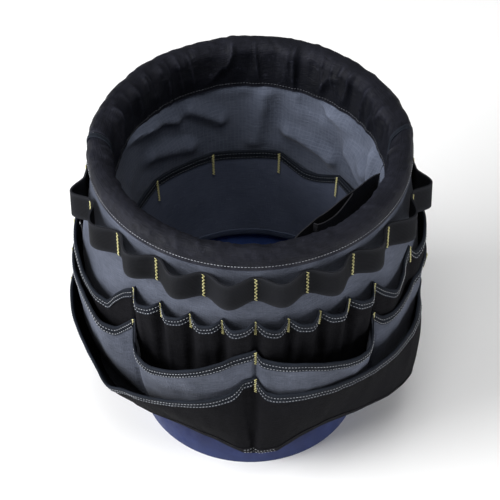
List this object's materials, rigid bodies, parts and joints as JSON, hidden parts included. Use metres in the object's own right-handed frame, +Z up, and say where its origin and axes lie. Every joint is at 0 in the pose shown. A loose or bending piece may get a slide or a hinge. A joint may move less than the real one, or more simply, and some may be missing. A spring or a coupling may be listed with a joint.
{
  "type": "tool bucket organizer",
  "caption": "Fabric tool organizer seated over the rim of an open round pail, with a padded rim roll, a band of webbing loops, three rows of outer pockets and a pocketed lining.",
  "frame": {"origin": "middle of the pail's foot, on the surface that it stands on, which is the middle of the bounding box's bottom", "axes": "+Z up along the pail's axis, -Y towards the front seam, +X towards the right side seam"},
  "size_m": [0.383, 0.3498, 0.3644],
  "materials": {
    "pail_plastic": "satin, scuffed",
    "foam_padding": "closed-cell foam, matte",
    "bartack_thread": "zigzag stitching in pale yellow thread",
    "black_ripstop": "ripstop, low sheen",
    "black_webbing": "flat woven webbing",
    "binding_tape": "grosgrain tape with two rows of grey stitching",
    "grey_canvas": "coated canvas, matte",
    "slate_lining": "smooth lining cloth",
    "grey_ripstop": "ripstop with a fine grid",
    "black_canvas": "coated canvas, matte"
  },
  "bodies": {
    "pail": {"pail": "pail_plastic"},
    "organizer": {"rim_padding_front": "foam_padding", "rim_padding_back": "foam_padding", "rim_cover_front": "black_ripstop", "rim_cover_back": "black_ripstop", "slit_binding_left": "binding_tape", "slit_binding_right": "binding_tape", "outer_skirt": "grey_canvas", "skirt_hem_binding": "binding_tape", "loop_webbing_front_right": "black_webbing", "loop_webbing_front_left": "black_webbing", "loop_webbing_back_left": "black_webbing", "loop_webbing_back_right": "black_webbing", "upper_pocket_panel_front": "black_canvas", "upper_pocket_panel_back": "black_canvas", "upper_pocket_binding_front": "binding_tape", "upper_pocket_binding_back": "binding_tape", "middle_pocket_panel_front": "grey_canvas", "middle_pocket_panel_back": "grey_canvas", "middle_pocket_binding_front": "binding_tape", "middle_pocket_binding_back": "binding_tape", "lower_pocket_panel_front": "black_canvas", "lower_pocket_panel_back": "black_canvas", "lower_pocket_binding_front": "binding_tape", "lower_pocket_binding_back": "binding_tape", "lining_front": "grey_ripstop", "lining_back": "grey_ripstop", "lining_pocket_panel_front": "slate_lining", "lining_pocket_panel_back": "slate_lining", "lining_pocket_binding_front": "binding_tape", "lining_pocket_binding_back": "binding_tape", "lining_hem_binding": "binding_tape", "black_pocket_panel": "black_canvas", "black_pocket_divider": "black_canvas", "loop_bartacks": "bartack_thread", "upper_bartacks": "bartack_thread", "middle_bartacks": "bartack_thread", "lower_bartacks": "bartack_thread", "lining_bartacks": "bartack_thread"}
  },
  "joints": [
    {"name": "organizer_lift", "type": "slide", "parent": "pail", "child": "organizer", "axis": [0, 0, 1], "range_m": [0, 0.33]}
  ]
}
